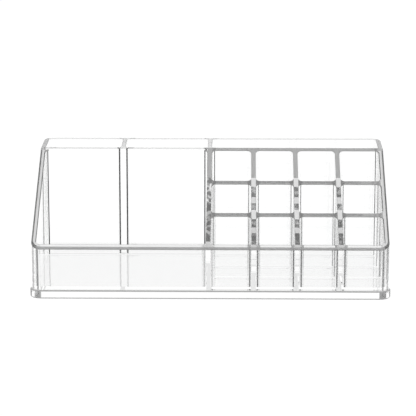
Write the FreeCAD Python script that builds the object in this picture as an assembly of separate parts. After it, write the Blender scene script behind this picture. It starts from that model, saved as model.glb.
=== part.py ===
"""Clear vanity organizer with rear slots, one large compartment and a block of lipstick cells.

The frame is in millimetres: X runs left to right, Y front to rear and Z up from the table. The origin is
the middle of the footprint, on the table. Every wall panel is its own solid, and panels meet face to face.
"""
import FreeCAD, Part
import os

# Driving dimensions of the outside
body_width = 213.6
overall_height = 75.0
front_height = 31.2
outer_wall = 3.0
corner_radius = 6.0

# Foot ring and floor plate
plinth_height = 5.3
plinth_lip = 1.0
plinth_round = 0.8
floor_thickness = 3.0
floor_rise = 1.6

# Compartments, as clear sizes between the walls
inner_wall = 2.8
pocket_fillet = 2.4
cell_columns = 4
cell_width = 23.2
end_cell_width = 24.4
front_cell_depth = 22.0
middle_cell_depth = 23.0
rear_cell_depth = 25.0
slot_depth = 26.6
left_slot_width = 47.0

# The slope reaches the flat top this far behind the front face of the slot wall
slope_setback = 2.0

# How far cutting tools run past what they cut
overrun = 10.0

# Places from front to rear
cell_depths = [front_cell_depth, middle_cell_depth, rear_cell_depth]
compartment_depth = sum(cell_depths) + (len(cell_depths) - 1) * inner_wall
body_depth = 2 * outer_wall + compartment_depth + inner_wall + slot_depth
front_face = -body_depth / 2
front_inside = front_face + outer_wall
slot_wall_front = front_inside + compartment_depth
slot_wall_rear = slot_wall_front + inner_wall
rear_inside = slot_wall_rear + slot_depth
rear_face = body_depth / 2

# Places from left to right
left_face = -body_width / 2
left_inside = left_face + outer_wall
right_inside = -left_inside
right_face = -left_face
cell_widths = [end_cell_width] + [cell_width] * (cell_columns - 2) + [end_cell_width]
cell_block_width = sum(cell_widths) + (cell_columns - 1) * inner_wall
partition_right = right_inside - cell_block_width
partition_left = partition_right - inner_wall
slot_divider_left_face = left_inside + left_slot_width

# Places upward
floor_top = plinth_height + floor_rise
floor_bottom = floor_top - floor_thickness


def box(x_span, y_span, z_span):
    """A plain box between three pairs of limits."""
    corner = FreeCAD.Vector(x_span[0], y_span[0], z_span[0])
    sizes = [span[1] - span[0] for span in (x_span, y_span, z_span)]
    return Part.makeBox(*sizes, corner)


def rounded_box(x_span, y_span, z_span, radius):
    """A box with its four upright edges rounded."""
    block = box(x_span, y_span, z_span)
    upright = [edge for edge in block.Edges if edge.Vertexes[0].Z != edge.Vertexes[1].Z]
    return block.makeFillet(radius, upright)


def grown(span, amount):
    """A pair of limits moved outward by the same amount."""
    return (span[0] - amount, span[1] + amount)


def spans_after(start, clear_sizes, wall):
    """The limits of a run of clear spaces with a wall between each and the next."""
    spans = []
    for size in clear_sizes:
        spans.append((start, start + size))
        start = start + size + wall
    return spans


def walls_between(spans):
    """The limits of the walls between clear spaces that follow each other."""
    return [(before[1], after[0]) for before, after in zip(spans, spans[1:])]


body_x = (left_face, right_face)
body_y = (front_face, rear_face)
inside_x = (left_inside, right_inside)
inside_y = (front_inside, rear_inside)
compartment_y = (front_inside, slot_wall_front)
slot_y = (slot_wall_rear, rear_inside)
wall_z = (plinth_height, overall_height)
pocket_z = (floor_top, overall_height + overrun)
claim_z = grown(wall_z, overrun)

column_spans = spans_after(partition_right, cell_widths, inner_wall)
row_spans = spans_after(front_inside, cell_depths, inner_wall)
column_walls = walls_between(column_spans)
row_walls = walls_between(row_spans)

slot_divider_left_x = (slot_divider_left_face, slot_divider_left_face + inner_wall)
partition_x = (partition_left, partition_right)
slot_spans = [
    (left_inside, slot_divider_left_x[0]),
    (slot_divider_left_x[1], partition_left),
    (partition_right, right_inside),
]


def slope_cutter(y_limit):
    """The space above the sloping plane, up to a limit towards the rear."""
    slope_end = slot_wall_front + slope_setback
    slope = (overall_height - front_height) / (slope_end - front_face)
    y_start = front_face - overrun
    y_stop = min(y_limit, slope_end)
    roof = overall_height + overrun
    outline = [
        (y_start, front_height + slope * (y_start - front_face)),
        (y_stop, front_height + slope * (y_stop - front_face)),
        (y_stop, roof),
        (y_start, roof),
    ]
    cut_x = grown(body_x, overrun)
    points = [FreeCAD.Vector(cut_x[0], y, z) for y, z in outline]
    face = Part.Face(Part.makePolygon(points + points[:1]))
    return face.extrude(FreeCAD.Vector(cut_x[1] - cut_x[0], 0, 0))


def pockets():
    """Every open compartment as a solid, down to the floor."""
    plans = [((left_inside, partition_left), compartment_y)]
    plans += [(x_span, slot_y) for x_span in slot_spans]
    plans += [(x_span, y_span) for y_span in row_spans for x_span in column_spans]
    return [rounded_box(x_span, y_span, pocket_z, pocket_fillet) for x_span, y_span in plans]


def make_floor():
    """The plate inside the foot ring that carries the inner walls."""
    return rounded_box(inside_x, inside_y, (floor_bottom, floor_top), pocket_fillet)


def make_plinth():
    """The foot ring, slightly proud of the walls, with its outer edges rounded."""
    ring_z = (0, plinth_height)
    ring_x = grown(body_x, plinth_lip)
    ring_y = grown(body_y, plinth_lip)
    ring = rounded_box(ring_x, ring_y, ring_z, corner_radius + plinth_lip)
    level = [edge for edge in ring.Edges if edge.Vertexes[0].Z == edge.Vertexes[1].Z]
    ring = ring.makeFillet(plinth_round, level)
    return ring.cut(rounded_box(inside_x, inside_y, grown(ring_z, overrun), pocket_fillet))


def make_walls(floor):
    """All walls as one block: the rounded outside without the compartments, the floor and the slope.

    The slot wall behind the large compartment keeps its full height, so the slope stops in front of it there.
    """
    block = rounded_box(body_x, body_y, wall_z, corner_radius)
    block = block.cut([floor] + pockets())
    kept_high = box((left_inside, partition_left), (slot_wall_front, rear_face), claim_z)
    low = block.cut([kept_high, slope_cutter(rear_face)])
    high = block.common(kept_high).cut(slope_cutter(slot_wall_front))
    return low.fuse(high).removeSplitter()


class WallStock:
    """The block of walls, from which each panel takes what lies in its own region."""

    def __init__(self, walls):
        self.left = walls
        self.panels = {}

    def take(self, name, x_span, y_span):
        region = box(x_span, y_span, claim_z)
        self.panels[name] = self.left.common(region).removeSplitter()
        self.left = self.left.cut(region)


def divide(walls):
    """Every panel by name. Panels that cross the others go first and take their own flared ends."""
    stock = WallStock(walls)
    beyond_x = grown(body_x, overrun)
    beyond_y = grown(body_y, overrun)
    for row, row_wall in enumerate(row_walls, 1):
        for column, column_span in enumerate(column_spans, 1):
            stock.take(f"row_divider_{row}_{column}", column_span, grown(row_wall, pocket_fillet))
    for column, column_wall in enumerate(column_walls, 1):
        stock.take(f"column_divider_{column}", grown(column_wall, pocket_fillet), compartment_y)
    stock.take("lipstick_partition", grown(partition_x, pocket_fillet), compartment_y)
    stock.take("slot_divider_left", grown(slot_divider_left_x, pocket_fillet), slot_y)
    stock.take("slot_divider_right", grown(partition_x, pocket_fillet), slot_y)
    slot_wall_y = grown((slot_wall_front, slot_wall_rear), pocket_fillet)
    stock.take("slot_wall_left", (left_inside, partition_left), slot_wall_y)
    stock.take("slot_wall_right", (partition_left, right_inside), slot_wall_y)
    stock.take("left_side_wall", (beyond_x[0], left_inside), beyond_y)
    stock.take("right_side_wall", (right_inside, beyond_x[1]), beyond_y)
    stock.take("front_wall", inside_x, (beyond_y[0], front_inside + pocket_fillet))
    stock.take("rear_wall", inside_x, (rear_inside - pocket_fillet, beyond_y[1]))
    return stock.panels


def main():
    floor = make_floor()
    nodes = {"base_plinth": make_plinth(), "base_floor": floor}
    nodes.update(divide(make_walls(floor)))
    os.makedirs("parts", exist_ok=True)
    for name, shape in nodes.items():
        if len(shape.Solids) != 1 or not shape.isValid():
            raise ValueError(f"{name} has {len(shape.Solids)} solids")
        shape.Solids[0].exportStep(f"parts/{name}.step")
        print(f"{name}: {shape.Volume:.1f} mm3")


main()
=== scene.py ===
"""Looks of the clear vanity organizer: one continuous clear moulding on a white studio floor.

The moulding follows the CAD panels exactly. It is one closed skin, because bonded clear panels show no face
where they meet. Sizes are in metres: X runs left to right, Y front to rear and Z up.
"""
import math

import bmesh
import bpy
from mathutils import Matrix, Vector


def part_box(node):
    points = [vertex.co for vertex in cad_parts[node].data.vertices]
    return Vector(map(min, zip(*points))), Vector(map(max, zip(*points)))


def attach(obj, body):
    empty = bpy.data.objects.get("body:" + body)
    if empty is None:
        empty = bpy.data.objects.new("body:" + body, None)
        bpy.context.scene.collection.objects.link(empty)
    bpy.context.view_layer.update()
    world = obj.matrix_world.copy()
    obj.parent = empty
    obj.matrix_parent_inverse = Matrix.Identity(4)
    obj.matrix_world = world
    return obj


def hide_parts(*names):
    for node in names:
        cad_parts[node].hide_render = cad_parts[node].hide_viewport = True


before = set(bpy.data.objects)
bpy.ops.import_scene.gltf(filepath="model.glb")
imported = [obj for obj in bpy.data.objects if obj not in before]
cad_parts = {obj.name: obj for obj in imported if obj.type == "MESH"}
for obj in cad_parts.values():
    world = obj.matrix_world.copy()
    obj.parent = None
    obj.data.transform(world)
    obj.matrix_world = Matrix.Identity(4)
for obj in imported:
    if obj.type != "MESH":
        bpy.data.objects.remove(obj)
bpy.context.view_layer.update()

bl_info = {
    "name": "Clear vanity organizer",
    "version": (1, 0, 0),
    "blender": (4, 5, 0),
    "location": "View3D > Sidebar > Organizer",
    "description": "Builds the clear organizer and its studio around the packed panels",
    "category": "Add Mesh",
}

X, Y, Z = range(3)

# Layers that the plastic reads on every face: grey, cover and mottling of the painted shade on the rims, and
# where painted shade goes on the upright roundings
PAINTED_GREY_LAYER = "edge_grey"
PAINTED_COVER_LAYER = "painted_shade_cover"
PAINTED_MOTTLE_LAYER = "edge_mottle"
FILLET_SHADE_LAYER = "upright_fillet"
CORNER_SHADE_LAYER = "outer_corner"
COVE_SHADE_LAYER = "far_cove"
LAYERS = (PAINTED_GREY_LAYER, PAINTED_COVER_LAYER, PAINTED_MOTTLE_LAYER, FILLET_SHADE_LAYER, CORNER_SHADE_LAYER, COVE_SHADE_LAYER)

# Parts of a unit normal that tell how a face lies
FLAT = 0.9999
UPRIGHT = 0.02
UPWARD = 0.8

# Angles between faces: taken as level, shaded sharp, and rounded as a rim
LEVEL_ANGLE = 5e-3
SHARP_ANGLE = math.radians(26)
RIM_ANGLE = math.radians(40)

# Tolerances of the mesh
SLOPE_TOLERANCE = 1e-7
SAME_PLACE = 1e-6
PLACE_DIGITS = 6
CUT_TOLERANCE = 5e-6
SHORT_EDGE = 1e-5
FEWEST_FACES = 100

# Uneven weights of X, Y and Z, so that few places sort alike
SORT_WEIGHTS = Vector((1.0, 1.732, 2.646))

# Faces around the small roundings
FOOT_STEPS = 3
RIM_STEPS = 4

# Width of the flared ends on the rims, as a share of the fillet
FLARE_SHARE = 0.93

# Stretches of painted light on the rims in the lower two rows, as shares of the way down from the crossing
# behind them
LIGHT_SHARES = ((0.33, 0.55), (0.45, 0.72))

# How far clear streaks of painted light break up the painted shade of the satin
FOOT_MOTTLE = 1.0
PARTITION_MOTTLE = 0.9
COLUMN_MOTTLE = 0.3

# How strongly the painted shade shows on an upright fillet
STRONG_FILLET = 1.5
PLAIN_FILLET = 1.0
WEAK_FILLET = 0.5

# Slants at which painted shade stands for light that is lost, from 0 face on to 1 edge on: start, full,
# fading and end
FILLET_BAND = (0.09, 0.14, 0.32, 0.45)
COVE_BAND = (0.035, 0.05, 0.1, 0.14)
FIRST_LINE_BAND = (0.08, 0.1, 0.15, 0.18)
SECOND_LINE_BAND = (0.36, 0.42, 0.62, 0.7)
SECOND_LINE_SHARE = 0.7
EVEN_BLEND = 0.5

# Upright streaks of painted light in the painted rim shade, and the flow waves and handling marks of the
# plastic
STREAK_STRETCH = (1.0, 1.0, 0.1)
STREAK_SCALE = 240.0
STREAK_DETAIL = 1.0
STREAK_BAND = (0.42, 0.6)
WAVE_SCALE = 60.0
WAVE_DETAIL = 1.0
WAVE_STRENGTH = 0.003
WAVE_DEPTH = 0.001
MARK_SCALE = 900.0
MARK_DETAIL = 3.0
SATIN_SPECULAR = 0.1
SATIN_ROUGHNESS = 0.6

# Colours between which the painted shade of the rims is mixed, and the places of the colour sockets on a Mix
# node
BLACK = (0.0, 0.0, 0.0, 1.0)
WHITE = (1.0, 1.0, 1.0, 1.0)
MIX_FIRST = 6
MIX_SECOND = 7
MIX_RESULT = 2

# The studio, whose ceiling starts and is darkest at these heights of a unit direction
IMAGE_SIDE = 416
SENSOR_WIDTH = 36.0
FLOOR_HALF_SIDE = 6.0
LIGHT_BOUNCES = 128
CEILING_HEIGHTS = (0.5, 0.95)
CEILING_LOSS = 0.55


def span_of(node, axis, trim=0.0):
    """The limits of a CAD node along one axis, with its flared ends trimmed off."""
    low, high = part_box(node)
    return low[axis] + trim, high[axis] - trim


def spaces_between(outer, walls):
    """The clear spaces that walls leave between two outer limits."""
    edges = [outer[0]]
    for wall in walls:
        edges.extend(wall)
    edges.append(outer[1])
    return list(zip(edges[0::2], edges[1::2]))


class Plan:
    """The organizer's limits, read from the CAD panels."""

    def __init__(self):
        self.foot_x = span_of("base_plinth", X)
        self.foot_y = span_of("base_plinth", Y)
        self.foot_z = span_of("base_plinth", Z)
        self.inside_x = span_of("base_floor", X)
        self.inside_y = span_of("base_floor", Y)
        self.floor_z = span_of("base_floor", Z)
        self.front_face = span_of("front_wall", Y)[0]
        self.top = span_of("rear_wall", Z)[1]
        self.lip = span_of("left_side_wall", X)[0] - self.foot_x[0]
        self.fillet = self.inside_y[1] - span_of("rear_wall", Y)[0]
        self.flare = FLARE_SHARE * self.fillet
        self.rim_floor = self.floor_z[1] + self.fillet
        self.slot_wall_y = span_of("slot_wall_left", Y, self.fillet)
        self.partition_x = span_of("lipstick_partition", X, self.fillet)
        self.slot_divider_x = span_of("slot_divider_left", X, self.fillet)
        self.column_walls = [span_of(f"column_divider_{n}", X, self.fillet) for n in (1, 2, 3)]
        self.row_walls = [span_of(f"row_divider_{n}_1", Y, self.fillet) for n in (1, 2)]
        self.slope_low = Vector((0, self.inside_y[0] + self.fillet, span_of("front_wall", Z)[1]))
        self.slope_high = Vector((0, self.slot_wall_y[0], span_of("lipstick_partition", Z)[1]))

    def slope_normal(self):
        run = self.slope_high - self.slope_low
        return Vector((0, -run.z, run.y)).normalized()

    def light_stretches(self):
        """The Y limits of the stretches of painted light along the lower rims."""
        rear_ends = [wall[0] - self.flare for wall in self.row_walls]
        front_ends = [self.inside_y[0], self.row_walls[0][1] + self.flare]
        return [
            (rear + (front - rear) * shares[1], rear + (front - rear) * shares[0])
            for front, rear, shares in zip(front_ends, rear_ends, LIGHT_SHARES)
        ]

    def rim_cuts(self):
        """The axis and place of every upright plane at which the painted shade of the rims changes."""
        along = self.column_walls + [self.partition_x, self.inside_x]
        cuts = [(X, place) for wall in along for place in wall]
        for wall in self.row_walls:
            cuts += [(Y, wall[0] - self.flare), (Y, wall[1] + self.flare)]
        cuts += [(Y, place) for stretch in self.light_stretches() for place in stretch]
        front = self.inside_y[0]
        cuts += [(Y, front), (Y, front + self.flare), (Y, self.slot_wall_y[0])]
        return cuts

    def pockets(self):
        """The X and Y limits of every compartment."""
        left_x = (self.inside_x[0], self.partition_x[0])
        front_y = (self.inside_y[0], self.slot_wall_y[0])
        slot_y = (self.slot_wall_y[1], self.inside_y[1])
        slots = spaces_between(self.inside_x, [self.slot_divider_x, self.partition_x])
        columns = spaces_between((self.partition_x[1], self.inside_x[1]), self.column_walls)
        rows = spaces_between(front_y, self.row_walls)
        plans = [(left_x, front_y)]
        plans += [(x, slot_y) for x in slots]
        plans += [(x, y) for y in rows for x in columns]
        return plans


PLAN = Plan()


class MouldingSizes(bpy.types.PropertyGroup):
    """Radii of the clear moulding."""

    corner_radius: bpy.props.FloatProperty(
        name="Corner radius", description="Outer radius of the four upright corners",
        default=0.006, min=0.001, unit="LENGTH")
    outer_rim_round: bpy.props.FloatProperty(
        name="Outer rim round", description="Radius along the outer upper edge",
        default=0.0011, min=0.00005, unit="LENGTH")
    inner_rim_round: bpy.props.FloatProperty(
        name="Inner rim round", description="Radius along the upper edges of the compartments",
        default=0.0005, min=0.00005, unit="LENGTH")
    foot_round: bpy.props.FloatProperty(
        name="Foot round", description="Radius along the edges of the foot ring",
        default=0.0008, min=0.0001, unit="LENGTH")
    arc_steps: bpy.props.IntProperty(
        name="Arc steps", description="Faces around each quarter circle",
        default=10, min=3, max=32)


def share(name, description, default):
    """A property between zero and one."""
    return bpy.props.FloatProperty(
        name=name, description=description, default=default, min=0.0, max=1.0, subtype="FACTOR")


class PlasticFinishAndShade(bpy.types.PropertyGroup):
    """Finish of the clear plastic, and the painted shade of its satin rims and roundings."""

    tint: bpy.props.FloatVectorProperty(
        name="Tint", description="Colour that light keeps as it crosses a wall",
        subtype="COLOR", size=3, default=(0.998, 0.999, 0.999), min=0.0, max=1.0)
    index: bpy.props.FloatProperty(
        name="Index of refraction", description="Of the clear plastic", default=1.49, min=1.0, max=2.0)
    polish: share("Polish", "Roughness of the moulded faces", 0.01)
    # Painted shade: how much dark satin is mixed in where roundings bend light aside
    fillet_loss: share("Fillet loss", "Light lost where the compartments' fillets bend it aside", 0.8)
    cove_loss: share("Cove loss", "Light lost in the far fillets of the large compartment", 1.0)
    corner_loss: share("Corner loss", "Light lost where the outer corners bend it aside", 0.6)
    # Painted shade: how much of the grey satin covers the clear plastic
    rim_cover: share("Rim cover", "How much the satin of the rims hides what lies behind", 0.88)
    rail_cover: share("Rail cover", "The same for the flat part of the front rim", 0.4)
    side_top_cover: share("Side top cover", "The same for the level rims of the side walls", 0.75)
    top_cover: share("Top cover", "The same for the level rims at the rear", 0.3)
    foot_cover: share("Foot cover", "The same for the roundings of the foot ring", 0.7)
    # Painted shade: greys of the satin that stand for light the clear rims and roundings send elsewhere; the
    # light greys are painted light
    side_grey: share("Side grey", "Flat part of the side rims", 0.85)
    side_edge_grey: share("Side edge grey", "Edges of the side rims", 0.15)
    rail_grey: share("Rail grey", "Flat part of the front rim", 1.0)
    rail_line_grey: share("Rail line grey", "Inner edge of the front rim", 0.05)
    rail_edge_grey: share("Rail edge grey", "Outer rounding of the front rim", 0.5)
    row_grey: share("Row grey", "Rims that run from left to right", 0.45)
    wing_grey: share("Wing grey", "Flared ends of those rims", 0.33)
    crossing_grey: share("Crossing grey", "Strip in the middle of a crossing", 0.95)
    column_grey: share("Column grey", "Rear stretch of the rims that run from front to rear", 0.46)
    dark_grey: share("Dark grey", "Dark stretches of those rims further down", 0.17)
    light_grey: share("Light grey", "Light stretches and front ends of those rims", 0.86)
    top_grey: share("Top grey", "Level rims at the rear", 0.5)
    foot_grey: share("Foot grey", "Roundings of the foot ring", 0.32)
    foot_corner_grey: share("Foot corner grey", "Corners of the foot ring", 0.12)
    lost_grey: share("Lost grey", "What is left where light is lost", 0.03)


class StudioLook(bpy.types.PropertyGroup):
    """Camera and floor of the studio."""

    elevation: bpy.props.FloatProperty(
        name="Elevation", description="Camera height above the horizon", default=math.radians(13.63),
        subtype="ANGLE")
    azimuth: bpy.props.FloatProperty(
        name="Azimuth", description="Camera turn to the right of the front", default=math.radians(0.8),
        subtype="ANGLE")
    distance: bpy.props.FloatProperty(
        name="Distance", description="From the camera to its target", default=1.363, unit="LENGTH")
    target: bpy.props.FloatVectorProperty(
        name="Target", description="Point in the middle of the picture", subtype="XYZ", size=3,
        default=(-0.002, 0.0, 0.0424), unit="LENGTH")
    focal_pixels: bpy.props.FloatProperty(
        name="Focal length", description="In pixels of the picture", default=2210.0)
    floor_colour: bpy.props.FloatVectorProperty(
        name="Floor colour", description="Matt part of the studio floor, on which the shadow falls",
        subtype="COLOR", size=3, default=(0.05, 0.05, 0.05), min=0.0, max=1.0)


class Studio(bpy.types.PropertyGroup):
    """All settings of the add-on."""

    sizes: bpy.props.PointerProperty(type=MouldingSizes)
    finish_and_shade: bpy.props.PointerProperty(type=PlasticFinishAndShade)
    look: bpy.props.PointerProperty(type=StudioLook)


class Wire:
    """A node socket whose arithmetic adds Math nodes."""

    def __init__(self, graph, socket):
        self.graph = graph
        self.socket = socket

    def _maths(self, operation, first, second):
        return self.graph.node("ShaderNodeMath", {"operation": operation}, {0: first, 1: second})

    def __add__(self, other):
        return self._maths("ADD", self, other)

    def __sub__(self, other):
        return self._maths("SUBTRACT", self, other)

    def __rsub__(self, other):
        return self._maths("SUBTRACT", other, self)

    def __mul__(self, other):
        return self._maths("MULTIPLY", self, other)

    __radd__ = __add__
    __rmul__ = __mul__

    def larger(self, other):
        return self._maths("MAXIMUM", self, other)

    def rise(self, low, high):
        """Zero below the first limit, one above the second and a smooth step between them."""
        return self.graph.node("ShaderNodeMapRange", {"interpolation_type": "SMOOTHSTEP"}, {
            "Value": self, "From Min": low, "From Max": high})

    def band(self, start, full, fading, end):
        """One between the two middle limits, with smooth steps down to zero at the outer two."""
        return self.rise(start, full) * (1.0 - self.rise(fading, end))


class Graph:
    """A node tree that is written as calls."""

    def __init__(self, tree):
        self.tree = tree
        tree.nodes.clear()

    def node(self, kind, settings=None, inputs=None, output=0):
        """Adds a node with its settings, fills its sockets and returns one of its outputs, if it has any."""
        made = self.tree.nodes.new(kind)
        for name, value in (settings or {}).items():
            setattr(made, name, value)
        for name, value in (inputs or {}).items():
            if isinstance(value, Wire):
                self.tree.links.new(value.socket, made.inputs[name])
            else:
                made.inputs[name].default_value = value
        return Wire(self, made.outputs[output]) if made.outputs else None


def material_graph(name):
    """A new material and the graph of its nodes."""
    material = bpy.data.materials.new(name)
    material.use_nodes = True
    return material, Graph(material.node_tree)


def face_value(graph, layer):
    """What the faces carry in one of the layers."""
    return graph.node("ShaderNodeAttribute", {"attribute_name": layer}, output="Fac")


def noise(graph, place, scale, detail):
    return graph.node("ShaderNodeTexNoise", None, {"Vector": place, "Scale": scale, "Detail": detail})


def inside_plastic(graph):
    """One for light that meets a face from within the plastic."""
    return graph.node("ShaderNodeNewGeometry", output="Backfacing")


def painted_lost_light(graph, finish_and_shade):
    """The share of painted shade where upright roundings bend light aside, by the angle at which light meets
    them.
    """
    slant = graph.node("ShaderNodeLayerWeight", None, {"Blend": EVEN_BLEND}, output="Facing")
    inside = inside_plastic(graph)
    outside = 1.0 - inside
    lines = slant.band(*FIRST_LINE_BAND) + SECOND_LINE_SHARE * slant.band(*SECOND_LINE_BAND)
    behind = inside * slant.band(*FILLET_BAND) * finish_and_shade.fillet_loss
    before = outside * slant.band(*COVE_BAND) * finish_and_shade.cove_loss
    turned = outside * lines * finish_and_shade.corner_loss
    return (
        face_value(graph, FILLET_SHADE_LAYER) * behind
        + face_value(graph, COVE_SHADE_LAYER) * before
        + face_value(graph, CORNER_SHADE_LAYER) * turned
    )


def painted_edge_shade(graph):
    """Painted shade of the satin rims and roundings, as a grey."""
    return graph.node("ShaderNodeMix", {"data_type": "RGBA"}, {
        "Factor": face_value(graph, PAINTED_GREY_LAYER), MIX_FIRST: BLACK, MIX_SECOND: WHITE}, output=MIX_RESULT)


def painted_shade_cover(graph, place):
    """How much the painted shade of the satin hides from outside, with clear upright streaks of painted light
    where it is mottled.
    """
    drawn = graph.node("ShaderNodeVectorMath", {"operation": "MULTIPLY"}, {0: place, 1: STREAK_STRETCH})
    streaks = noise(graph, drawn, STREAK_SCALE, STREAK_DETAIL).rise(*STREAK_BAND)
    left = 1.0 - face_value(graph, PAINTED_MOTTLE_LAYER) * streaks
    return face_value(graph, PAINTED_COVER_LAYER) * left * (1.0 - inside_plastic(graph))


def clear_plastic(finish_and_shade):
    """Crystal-clear moulded plastic with faint flow waves, fine handling marks, and satin rims whose greys
    are painted shade; more painted shade goes where upright roundings bend light aside.
    """
    material, graph = material_graph("crystal_clear_plastic")
    place = graph.node("ShaderNodeTexCoord", output="Object")
    waves = noise(graph, place, WAVE_SCALE, WAVE_DETAIL)
    marks = noise(graph, place, MARK_SCALE, MARK_DETAIL)
    ripple = graph.node("ShaderNodeBump", None, {
        "Strength": WAVE_STRENGTH, "Distance": WAVE_DEPTH, "Height": waves})
    clear = graph.node("ShaderNodeBsdfPrincipled", None, {
        "Base Color": (*finish_and_shade.tint, 1.0),
        "Roughness": marks * finish_and_shade.polish,
        "IOR": finish_and_shade.index,
        "Transmission Weight": 1.0,
        "Normal": ripple,
    })
    # Satin whose greys are painted shade
    satin = graph.node("ShaderNodeBsdfPrincipled", None, {
        "Base Color": painted_edge_shade(graph),
        "Specular IOR Level": SATIN_SPECULAR,
        "Roughness": SATIN_ROUGHNESS,
    })
    # Share of painted shade: the satin's cover plus the light that roundings bend aside
    painted_shade_share = painted_shade_cover(graph, place) + painted_lost_light(graph, finish_and_shade)
    shader = graph.node("ShaderNodeMixShader", None, {0: painted_shade_share, 1: clear, 2: satin})
    graph.node("ShaderNodeOutputMaterial", None, {"Surface": shader})
    return material


def seen_ray(graph):
    """One for rays whose hit shows in the picture: camera, mirror and see-through rays."""
    camera, mirror, through = [
        graph.node("ShaderNodeLightPath", output=name)
        for name in ("Is Camera Ray", "Is Glossy Ray", "Is Transmission Ray")
    ]
    return camera.larger(mirror).larger(through)


def white_floor(look):
    """Matt floor that a picture shows as white, with the object's shadow kept."""
    material, graph = material_graph("studio_floor")
    matt = graph.node("ShaderNodeBsdfDiffuse", None, {"Color": (*look.floor_colour, 1.0)})
    glow = graph.node("ShaderNodeEmission", None, {"Strength": seen_ray(graph)})
    both = graph.node("ShaderNodeAddShader", None, {0: matt, 1: glow})
    graph.node("ShaderNodeOutputMaterial", None, {"Surface": both})
    return material


def block(x, y, z):
    """A bmesh box between three pairs of limits."""
    bm = bmesh.new()
    bmesh.ops.create_cube(bm, size=1.0)
    spans = (x, y, z)
    bmesh.ops.scale(bm, vec=[high - low for low, high in spans], verts=bm.verts)
    bmesh.ops.translate(bm, vec=[(low + high) / 2 for low, high in spans], verts=bm.verts)
    return bm


def is_upright(edge):
    return abs(edge.verts[0].co.z - edge.verts[1].co.z) > edge.calc_length() / 2


def lies_at(element, axis, place):
    """True where all corners of an edge or face are at one place along an axis."""
    return all(math.isclose(vert.co[axis], place, abs_tol=SAME_PLACE) for vert in element.verts)


def round_edges(bm, edges, radius, steps):
    """Rounds edges to a circular arc."""
    bmesh.ops.bevel(
        bm, geom=edges, offset=radius, offset_type="OFFSET", segments=steps, profile=0.5,
        affect="EDGES", material=-1, clamp_overlap=False)


def rounded_block(x, y, z, radius, steps):
    """A box with its upright edges rounded."""
    bm = block(x, y, z)
    round_edges(bm, [edge for edge in bm.edges if is_upright(edge)], radius, steps)
    return bm


def into_object(bm, name):
    """Turns a bmesh into a linked object."""
    bmesh.ops.recalc_face_normals(bm, faces=bm.faces)
    mesh = bpy.data.meshes.new(name)
    bm.to_mesh(mesh)
    bm.free()
    made = bpy.data.objects.new(name, mesh)
    bpy.context.scene.collection.objects.link(made)
    return made


def is_rim(edge):
    """True for the sharp upper edges of the walls."""
    if len(edge.link_faces) != 2 or not edge.is_convex:
        return False
    if min(vert.co.z for vert in edge.verts) < PLAN.rim_floor:
        return False
    if max(face.normal.z for face in edge.link_faces) < UPWARD:
        return False
    return edge.calc_face_angle() > RIM_ANGLE


def tops_foot(edge):
    """True for the outer upper edges of the foot ring."""
    below_top = PLAN.foot_z[1] - PLAN.lip / 2
    meets_side = any(face.calc_center_median().z < below_top for face in edge.link_faces)
    return meets_side and lies_at(edge, Z, PLAN.foot_z[1])


def raise_body(bm):
    """Steps in from the top of the foot ring and draws the body up from there."""
    lid = max(bm.faces, key=lambda face: face.calc_center_median().z)
    bmesh.ops.inset_region(bm, faces=[lid], thickness=PLAN.lip, use_even_offset=True)
    raised = bmesh.ops.extrude_face_region(bm, geom=[lid])["geom"]
    bmesh.ops.delete(bm, geom=[lid], context="FACES_ONLY")
    raised_verts = [item for item in raised if isinstance(item, bmesh.types.BMVert)]
    bmesh.ops.translate(bm, vec=(0, 0, PLAN.top - PLAN.foot_z[1]), verts=raised_verts)


def slope_top(bm):
    """Cuts the body down to the sloping plane and closes it there."""
    bmesh.ops.bisect_plane(
        bm, geom=bm.verts[:] + bm.edges[:] + bm.faces[:], dist=SLOPE_TOLERANCE,
        plane_co=PLAN.slope_low, plane_no=PLAN.slope_normal(), clear_outer=True)
    bmesh.ops.edgeloop_fill(bm, edges=[edge for edge in bm.edges if edge.is_boundary])
    bmesh.ops.recalc_face_normals(bm, faces=bm.faces)


def outer_block(sizes):
    """The outside of the moulding: foot ring, rounded body and sloping top."""
    foot_radius = sizes.corner_radius + PLAN.lip
    bm = rounded_block(PLAN.foot_x, PLAN.foot_y, PLAN.foot_z, foot_radius, sizes.arc_steps)
    raise_body(bm)
    foot_edges = [edge for edge in bm.edges if lies_at(edge, Z, PLAN.foot_z[0])]
    foot_edges += [edge for edge in bm.edges if tops_foot(edge)]
    round_edges(bm, foot_edges, sizes.foot_round, FOOT_STEPS)
    slope_top(bm)
    round_edges(bm, [edge for edge in bm.edges if is_rim(edge)], sizes.outer_rim_round, RIM_STEPS)
    return into_object(bm, "outer_block")


def high_slot_wall():
    """The slot wall behind the large compartment, which keeps its full height."""
    x = (PLAN.inside_x[0], PLAN.partition_x[0])
    return into_object(block(x, PLAN.slot_wall_y, (PLAN.floor_z[1], PLAN.top)), "high_slot_wall")


def pocket_cutters(sizes):
    """Every compartment and the hollow under the floor, as solids to take away."""
    overrun = PLAN.top
    spaces = [(x, y, (PLAN.floor_z[1], PLAN.top + overrun)) for x, y in PLAN.pockets()]
    spaces.append((PLAN.inside_x, PLAN.inside_y, (-overrun, PLAN.floor_z[0])))
    whole = bmesh.new()
    for x, y, z in spaces:
        bm = rounded_block(x, y, z, PLAN.fillet, sizes.arc_steps)
        mesh = bpy.data.meshes.new("cutter")
        bm.to_mesh(mesh)
        bm.free()
        whole.from_mesh(mesh)
        bpy.data.meshes.remove(mesh)
    return into_object(whole, "pocket_cutters")


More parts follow.
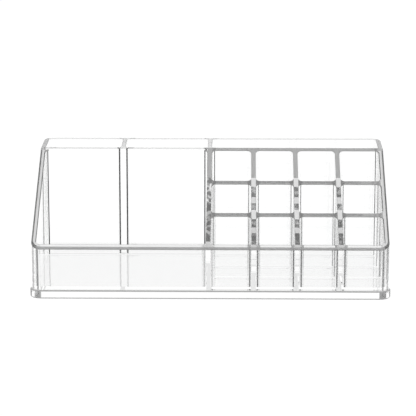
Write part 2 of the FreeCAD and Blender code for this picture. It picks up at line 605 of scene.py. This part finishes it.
def combine(base, other, operation):
    """Applies a Boolean with another object, which is then removed."""
    modifier = base.modifiers.new(operation.lower(), "BOOLEAN")
    modifier.operation = operation
    modifier.solver = "EXACT"
    modifier.object = other
    depsgraph = bpy.context.evaluated_depsgraph_get()
    mesh = bpy.data.meshes.new_from_object(base.evaluated_get(depsgraph))
    base.modifiers.clear()
    old = base.data
    base.data = mesh
    bpy.data.meshes.remove(old)
    bpy.data.objects.remove(other)


def put_in_order(bm):
    """Sorts the mesh by place, because the order that a Boolean leaves differs from run to run."""
    bm.verts.sort(key=lambda vert: vert.co.dot(SORT_WEIGHTS))
    bm.edges.sort(key=lambda edge: (edge.verts[0].co + edge.verts[1].co).dot(SORT_WEIGHTS))
    bm.faces.sort(key=lambda face: face.calc_center_median().dot(SORT_WEIGHTS))


def cut_faces(bm, faces, axis, place):
    """Cuts faces along an upright plane."""
    normal = Vector((0, 0, 0))
    normal[axis] = 1.0
    edges = list(dict.fromkeys(edge for face in faces for edge in face.edges))
    verts = list(dict.fromkeys(vert for face in faces for vert in face.verts))
    bmesh.ops.bisect_plane(
        bm, geom=verts + edges + faces, dist=CUT_TOLERANCE, plane_co=normal * place, plane_no=normal)


def cut_rims(bm, axis, place):
    """Cuts the rims along an upright plane."""
    rims = [
        face for face in bm.faces
        if face.normal.z > UPRIGHT and face.calc_center_median().z > PLAN.rim_floor
    ]
    cut_faces(bm, rims, axis, place)


def cut_underside(bm, axis, place):
    """Cuts the face that the foot ring stands on along an upright plane."""
    underside = [
        face for face in bm.faces
        if face.normal.z < -FLAT and lies_at(face, Z, PLAN.foot_z[0])
    ]
    cut_faces(bm, underside, axis, place)


def open_rings(bm):
    """Cuts the rims and the underside at the middle of every compartment, so that no face runs around a hole.

    Any other edge between level faces goes.
    """
    middles = sorted({round(sum(x) / 2, PLACE_DIGITS) for x, y in PLAN.pockets()})
    for middle in middles:
        cut_rims(bm, X, middle)
        cut_underside(bm, X, middle)
    others = [edge for edge in bm.edges if not any(lies_at(edge, X, middle) for middle in middles)]
    bmesh.ops.dissolve_limit(bm, angle_limit=LEVEL_ANGLE, verts=bm.verts, edges=others)


def soften_rims(made, sizes):
    """Rounds the upper edges of the compartments and cuts the rims where their painted shade changes."""
    bm = bmesh.new()
    bm.from_mesh(made.data)
    bmesh.ops.remove_doubles(bm, verts=bm.verts, dist=SAME_PLACE)
    bmesh.ops.dissolve_limit(bm, angle_limit=LEVEL_ANGLE, verts=bm.verts, edges=bm.edges)
    put_in_order(bm)
    open_rings(bm)
    put_in_order(bm)
    round_edges(bm, [edge for edge in bm.edges if is_rim(edge)], sizes.inner_rim_round, RIM_STEPS)
    for axis, place in PLAN.rim_cuts():
        cut_rims(bm, axis, place)
    bmesh.ops.dissolve_degenerate(bm, dist=SHORT_EDGE, edges=bm.edges)
    bmesh.ops.recalc_face_normals(bm, faces=bm.faces)
    bm.to_mesh(made.data)
    bm.free()


def smooth_normals(made):
    """Smooths the roundings and keeps flat faces flat."""
    made.data.shade_smooth()
    made.data.set_sharp_from_angle(angle=SHARP_ANGLE)
    normals = made.modifiers.new("flat_faces", "WEIGHTED_NORMAL")
    normals.keep_sharp = True


def within(span, value, margin=0.0):
    return span[0] - margin < value < span[1] + margin


def within_any(spans, value, margin=0.0):
    return any(within(span, value, margin) for span in spans)


def is_inside(point):
    return within(PLAN.inside_x, point.x) and within(PLAN.inside_y, point.y)


def is_turning(face):
    """True for the faces of upright roundings."""
    normal = face.normal
    return abs(normal.z) < UPRIGHT and max(abs(normal.x), abs(normal.y)) < FLAT


def is_outer_corner(face, middle):
    """True for the upright roundings of the outside."""
    return is_turning(face) and not is_inside(middle)


def is_level_rim(face, middle):
    """True for the rims at full height, without the upper end of the slope."""
    if face.normal.z > FLAT:
        return middle.z > PLAN.rim_floor
    over_cells = within((PLAN.partition_x[0], PLAN.inside_x[1]), middle.x)
    ends_slope = over_cells and middle.y < PLAN.slot_wall_y[1]
    return middle.z > PLAN.top - PLAN.lip and not ends_slope


def rail_painted_shade(middle, flat, finish_and_shade):
    """Painted shade of a face on the front rim."""
    if flat:
        return finish_and_shade.rail_grey
    outer = middle.y < (PLAN.inside_y[0] + PLAN.front_face) / 2
    return finish_and_shade.rail_edge_grey if outer else finish_and_shade.rail_line_grey


def column_painted_shade(middle, finish_and_shade):
    """Painted shade and mottling of painted light on a rim that runs from front to rear."""
    if middle.y > PLAN.row_walls[1][1]:
        return finish_and_shade.column_grey, 0.0
    if within(PLAN.partition_x, middle.x, PLAN.fillet):
        return finish_and_shade.dark_grey, PARTITION_MOTTLE
    if within_any(PLAN.light_stretches(), middle.y):
        return finish_and_shade.light_grey, 0.0
    return finish_and_shade.dark_grey, COLUMN_MOTTLE


def slope_painted_shade(middle, flat, finish_and_shade):
    """Painted shade and mottling of painted light on a face of the sloping rims, by the wall that it tops."""
    front = PLAN.inside_y[0]
    if not within(PLAN.inside_x, middle.x):
        return (finish_and_shade.side_grey if flat else finish_and_shade.side_edge_grey), 0.0
    if middle.y < front:
        return rail_painted_shade(middle, flat, finish_and_shade), 0.0
    column = within_any(PLAN.column_walls, middle.x)
    row = within_any(PLAN.row_walls, middle.y, PLAN.flare)
    flared = within_any(PLAN.column_walls + [PLAN.partition_x], middle.x, PLAN.fillet)
    if column and row:
        return finish_and_shade.crossing_grey, 0.0
    if middle.y > PLAN.slot_wall_y[0] or (row and not flared):
        return finish_and_shade.row_grey, 0.0
    if row and not within(PLAN.partition_x, middle.x):
        return finish_and_shade.wing_grey, 0.0
    if middle.y < front + PLAN.flare and not column:
        return finish_and_shade.light_grey, 0.0
    return column_painted_shade(middle, finish_and_shade)


def foot_painted_shade(face, middle, finish_and_shade):
    """Painted shade, its cover and mottling of painted light on a face of the foot ring, whose upper rounding
    stays clear at the rear.
    """
    if is_outer_corner(face, middle):
        return finish_and_shade.foot_corner_grey, finish_and_shade.foot_cover, FOOT_MOTTLE
    clear_above = middle.y > 0.0 and face.normal.z > UPRIGHT
    if clear_above or not UPRIGHT < abs(face.normal.z) < FLAT:
        return finish_and_shade.foot_grey, 0.0, 0.0
    return finish_and_shade.foot_grey, finish_and_shade.foot_cover, 0.0


def painted_shade_of(face, middle, finish_and_shade):
    """Painted shade of a face: its grey, how much that grey covers, and its mottling of painted light."""
    if middle.z < PLAN.foot_z[1]:
        return foot_painted_shade(face, middle, finish_and_shade)
    # Upright faces and low faces take the dark grey that painted shade shows where light is lost
    if abs(face.normal.z) < UPRIGHT or middle.z < PLAN.rim_floor:
        return finish_and_shade.lost_grey, 0.0, 0.0
    over_side = not within(PLAN.inside_x, middle.x)
    if is_level_rim(face, middle):
        return finish_and_shade.top_grey, (finish_and_shade.side_top_cover if over_side else finish_and_shade.top_cover), 0.0
    flat = face.normal.dot(PLAN.slope_normal()) > FLAT
    grey, mottle = slope_painted_shade(middle, flat, finish_and_shade)
    rail_top = flat and middle.y < PLAN.inside_y[0] and not over_side
    return grey, (finish_and_shade.rail_cover if rail_top else finish_and_shade.rim_cover), mottle


def fillet_of(face, middle):
    """How strongly the painted shade shows on the upright roundings of the compartments.

    Those of the rear slots are strong, but clear at the left end. Those at the front of the partition and of
    the side walls are weak.
    """
    if not is_turning(face) or not is_inside(middle) or middle.z < PLAN.floor_z[1]:
        return 0.0
    if middle.y > PLAN.slot_wall_y[0]:
        return 0.0 if middle.x < PLAN.inside_x[0] + PLAN.fillet else STRONG_FILLET
    at_front = middle.y < PLAN.inside_y[0] + PLAN.fillet
    at_side = not within(PLAN.inside_x, middle.x, -PLAN.fillet)
    at_partition = within(PLAN.partition_x, middle.x, PLAN.fillet)
    return WEAK_FILLET if at_front and (at_side or at_partition) else PLAIN_FILLET


def corner_of(face, middle):
    """One where painted shade goes on the upright roundings of the outside, above the foot ring."""
    return float(is_outer_corner(face, middle) and middle.z > PLAN.foot_z[1])


def cove_of(face, middle):
    """One where painted shade goes on the rear roundings of the large compartment."""
    at_rear = PLAN.slot_wall_y[0] - PLAN.fillet < middle.y < PLAN.slot_wall_y[0]
    in_large = within((PLAN.inside_x[0], PLAN.partition_x[0]), middle.x)
    return float(is_turning(face) and at_rear and in_large)


def mark_faces(made, finish_and_shade):
    """Writes the painted shade of every face: its grey, cover and mottling, and where painted shade goes on
    the roundings.
    """
    bm = bmesh.new()
    bm.from_mesh(made.data)
    for name in LAYERS:
        bm.faces.layers.float.new(name)
    # A new layer can move the earlier ones, so they are looked up once all are there
    layers = [bm.faces.layers.float[name] for name in LAYERS]
    for face in bm.faces:
        middle = face.calc_center_median()
        values = (
            *painted_shade_of(face, middle, finish_and_shade),
            fillet_of(face, middle),
            corner_of(face, middle),
            cove_of(face, middle),
        )
        for layer, value in zip(layers, values):
            face[layer] = value
    bm.to_mesh(made.data)
    bm.free()


class ORGANIZER_OT_moulding(bpy.types.Operator):
    """Builds the clear moulding with its compartments, in the place of the CAD panels"""

    bl_idname = "organizer.moulding"
    bl_label = "Clear moulding"

    def execute(self, context):
        studio = context.scene.organizer
        made = outer_block(studio.sizes)
        combine(made, high_slot_wall(), "UNION")
        combine(made, pocket_cutters(studio.sizes), "DIFFERENCE")
        soften_rims(made, studio.sizes)
        if len(made.data.polygons) < FEWEST_FACES:
            raise RuntimeError("the compartments were not cut")
        smooth_normals(made)
        mark_faces(made, studio.finish_and_shade)
        made.name = "clear_moulding"
        made.data.name = "clear_moulding"
        made.data.materials.clear()
        made.data.materials.append(clear_plastic(studio.finish_and_shade))
        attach(made, "root")
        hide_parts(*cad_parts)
        return {"FINISHED"}


class ORGANIZER_OT_stage(bpy.types.Operator):
    """Sets up the white floor, the soft light and the camera"""

    bl_idname = "organizer.stage"
    bl_label = "Studio"

    def execute(self, context):
        scene = context.scene
        look = scene.organizer.look
        self.floor(look)
        self.surroundings(scene)
        self.camera(scene, look)
        scene.view_settings.view_transform = "Standard"
        scene.cycles.max_bounces = LIGHT_BOUNCES
        scene.cycles.transmission_bounces = LIGHT_BOUNCES
        scene.cycles.glossy_bounces = LIGHT_BOUNCES
        return {"FINISHED"}

    def floor(self, look):
        bm = bmesh.new()
        bmesh.ops.create_grid(bm, x_segments=1, y_segments=1, size=FLOOR_HALF_SIDE)
        made = into_object(bm, "studio_floor")
        made.data.materials.append(white_floor(look))

    def surroundings(self, scene):
        """Even white light, with a darker ceiling for what gloss and glass show."""
        scene.world = bpy.data.worlds.new("studio_world")
        scene.world.use_nodes = True
        graph = Graph(scene.world.node_tree)
        direction = graph.node("ShaderNodeTexCoord", output="Generated")
        height = graph.node("ShaderNodeSeparateXYZ", None, {0: direction}, output="Z")
        ceiling = seen_ray(graph) * height.rise(*CEILING_HEIGHTS)
        light = graph.node("ShaderNodeBackground", None, {"Strength": 1.0 - CEILING_LOSS * ceiling})
        graph.node("ShaderNodeOutputWorld", None, {"Surface": light})

    def camera(self, scene, look):
        data = bpy.data.cameras.new("camera")
        data.sensor_width = SENSOR_WIDTH
        data.lens = SENSOR_WIDTH * look.focal_pixels / IMAGE_SIDE
        made = bpy.data.objects.new("camera", data)
        scene.collection.objects.link(made)
        level = math.cos(look.elevation)
        back = Vector((
            math.sin(look.azimuth) * level,
            -math.cos(look.azimuth) * level,
            math.sin(look.elevation),
        ))
        made.location = Vector(look.target) + back * look.distance
        made.rotation_euler = (-back).to_track_quat("-Z", "Y").to_euler()
        scene.camera = made


class ORGANIZER_PT_panel(bpy.types.Panel):
    """Lists the operators in the sidebar"""

    bl_label = "Clear vanity organizer"
    bl_space_type = "VIEW_3D"
    bl_region_type = "UI"
    bl_category = "Organizer"

    def draw(self, context):
        self.layout.operator("organizer.moulding")
        self.layout.operator("organizer.stage")


CLASSES = (
    MouldingSizes,
    PlasticFinishAndShade,
    StudioLook,
    Studio,
    ORGANIZER_OT_moulding,
    ORGANIZER_OT_stage,
    ORGANIZER_PT_panel,
)


def register():
    for cls in CLASSES:
        bpy.utils.register_class(cls)
    bpy.types.Scene.organizer = bpy.props.PointerProperty(type=Studio)


def unregister():
    del bpy.types.Scene.organizer
    for cls in reversed(CLASSES):
        bpy.utils.unregister_class(cls)


def main():
    register()
    bpy.ops.organizer.moulding()
    bpy.ops.organizer.stage()


if __name__ == "__main__":
    main()
